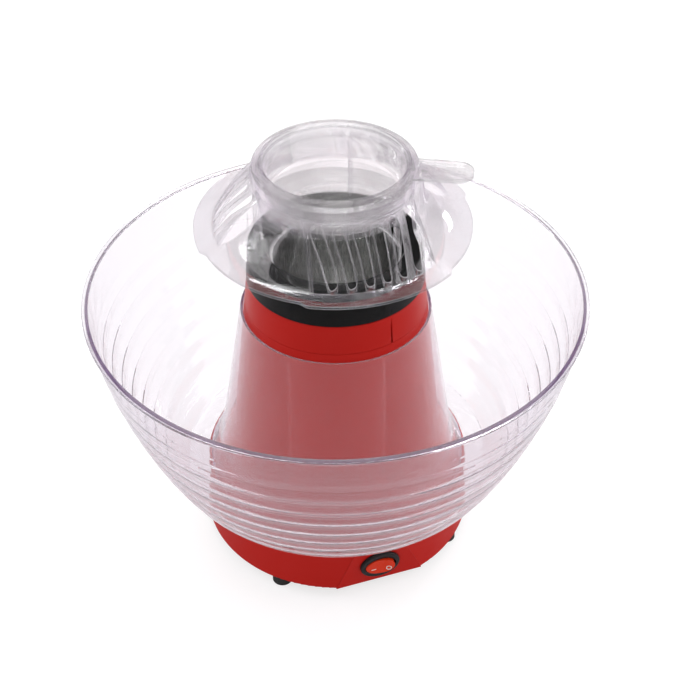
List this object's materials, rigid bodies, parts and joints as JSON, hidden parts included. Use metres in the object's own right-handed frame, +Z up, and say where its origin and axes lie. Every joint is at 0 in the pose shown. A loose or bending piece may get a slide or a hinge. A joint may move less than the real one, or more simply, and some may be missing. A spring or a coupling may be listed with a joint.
{
  "type": "popcorn maker",
  "caption": "Hot-air popcorn maker: conical tower with switch, ring-shaped clear bowl round it, slotted clear hood and measuring cup on top.",
  "frame": {"origin": "on the supporting surface, under the axis of the tower and the bowl", "axes": "+Z up along the tower axis, the switch panel faces -Y, +X to the right of the switch panel"},
  "size_m": [0.36, 0.3598, 0.3209],
  "materials": {
    "red_plastic": "satin moulded plastic",
    "clear_plastic": "clear moulded plastic, polished",
    "black_gloss": "polished black moulded plastic",
    "black_plastic": "fine-textured black plastic",
    "rubber": "matt black rubber",
    "steel": "plain sheet steel",
    "aluminium": "spun aluminium",
    "heater_wire": "oxidised resistance wire",
    "mica": "pressed mica sheet",
    "ferrite": "sintered ferrite and laminations",
    "white_plastic": "natural white plastic",
    "circuit_board": "phenolic board",
    "rocker_red": "translucent orange-red switch plastic",
    "brass": "plated brass blades",
    "wire_insulation": "glass-sleeved lead"
  },
  "bodies": {
    "base": {"tower_housing": "red_plastic", "base_plate": "black_plastic", "rubber_feet": "rubber", "base_screws": "steel", "chamber_collar": "black_gloss", "popping_chamber": "aluminium", "collar_screws": "steel", "heat_shield": "steel", "heater_coil": "heater_wire", "heater_frame": "mica", "air_duct": "black_plastic", "motor_bracket": "steel", "bracket_screws": "steel", "duct_screws": "steel", "motor_can": "steel", "motor_magnets": "ferrite", "motor_end_cap": "white_plastic", "motor_screws": "steel", "rectifier_board": "circuit_board", "rectifier_diodes": "black_plastic", "thermostat": "black_plastic", "thermal_fuse": "white_plastic", "terminal_block": "white_plastic", "cord_grommet": "rubber", "switch_bezel": "black_plastic", "switch_body": "black_plastic", "switch_terminals": "brass", "lead_wires": "wire_insulation"},
    "rotor": {"motor_armature": "ferrite", "motor_shaft": "steel", "fan_impeller": "white_plastic"},
    "rocker": {"switch_rocker": "rocker_red"},
    "bowl": {"bowl": "clear_plastic"},
    "lid": {"lid_hood": "clear_plastic"},
    "cup": {"measuring_cup": "clear_plastic"}
  },
  "joints": [
    {"name": "bowl_lift", "type": "slide", "parent": "base", "child": "bowl", "axis": [0, 0, 1], "range_m": [0, 0.2]},
    {"name": "lid_lift", "type": "slide", "parent": "bowl", "child": "lid", "axis": [0, 0, 1], "range_m": [0, 0.08]},
    {"name": "cup_lift", "type": "slide", "parent": "lid", "child": "cup", "axis": [0, 0, 1], "range_m": [0, 0.04]},
    {"name": "rocker_tilt", "type": "hinge", "parent": "base", "child": "rocker", "pos_m": [0, -0.097, 0.0257], "axis": [0, 0, 1], "range_deg": [0, 14]},
    {"name": "fan_spin", "type": "hinge", "parent": "base", "child": "rotor", "pos_m": [0, 0, 0.06], "axis": [0, 0, 1], "continuous": true}
  ]
}
